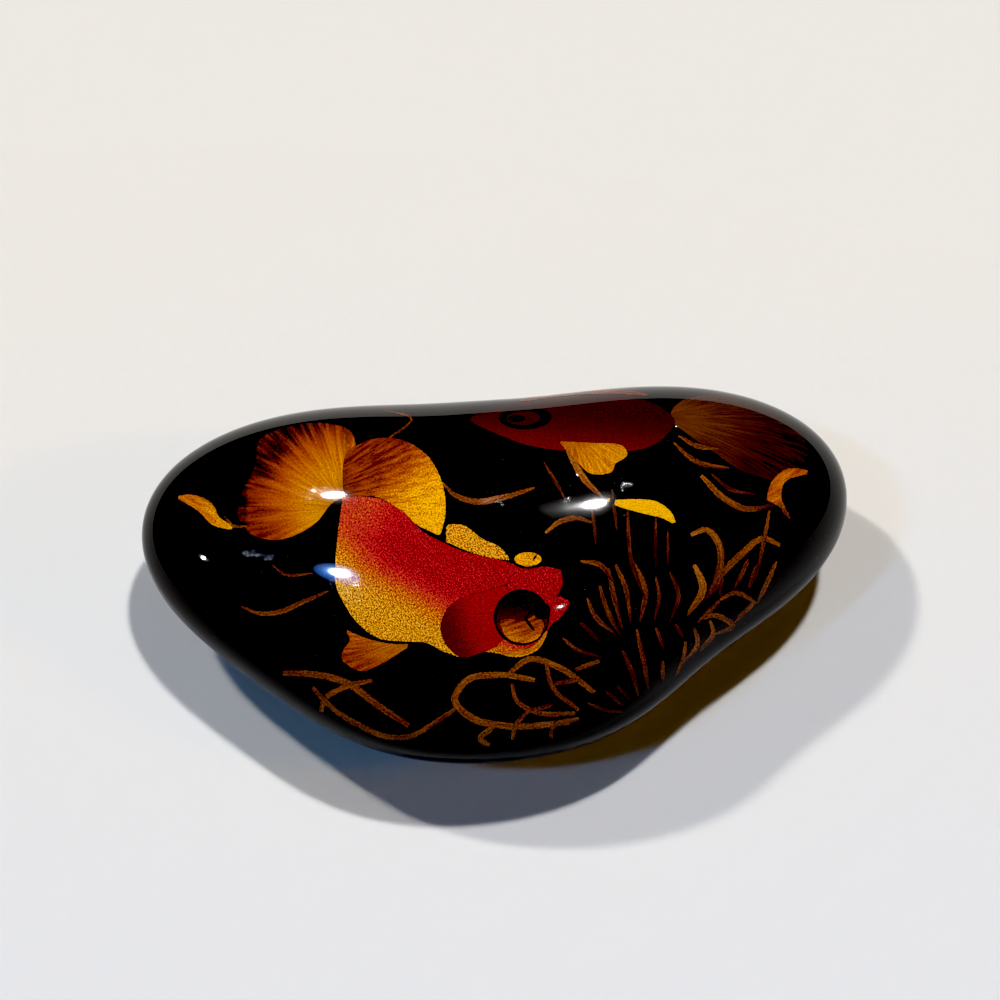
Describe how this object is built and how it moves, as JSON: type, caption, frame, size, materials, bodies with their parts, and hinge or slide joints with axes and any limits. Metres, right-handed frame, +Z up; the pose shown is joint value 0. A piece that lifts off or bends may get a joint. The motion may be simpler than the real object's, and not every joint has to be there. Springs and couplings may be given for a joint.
{
  "type": "go stone bowl",
  "caption": "Low pebble-shaped lacquered bowl for board game stones: a shallow dish with a standing inner ring, closed by a deep domed lid that lifts off, on small felt feet.",
  "frame": {"origin": "on the table, under the middle of the pebble's outline", "axes": "+X along the pebble's length toward its fuller end, +Y toward the back, +Z up; -Y is the pointed front"},
  "size_m": [0.1996, 0.1348, 0.0525],
  "materials": {
    "black_lacquer": "deep black lacquer, mirror polished, painted with goldfish and waterweed in red lacquer and gold powder on the lid",
    "red_lacquer": "vermilion lacquer, satin gloss",
    "core_wood": "turned wood under the lacquer, not seen when closed",
    "felt": "black felt"
  },
  "bodies": {
    "bowl": {"bowl_core": "core_wood", "bowl_lacquer": "black_lacquer", "bowl_lining": "red_lacquer", "inner_ring": "red_lacquer", "foot_1": "felt", "foot_2": "felt", "foot_3": "felt", "foot_4": "felt"},
    "lid": {"lid_core": "core_wood", "lid_lacquer": "black_lacquer", "lid_lining": "red_lacquer"}
  },
  "joints": [
    {"name": "lid_lift", "type": "slide", "parent": "bowl", "child": "lid", "axis": [0, 0, 1], "range_m": [0, 0.1]}
  ]
}
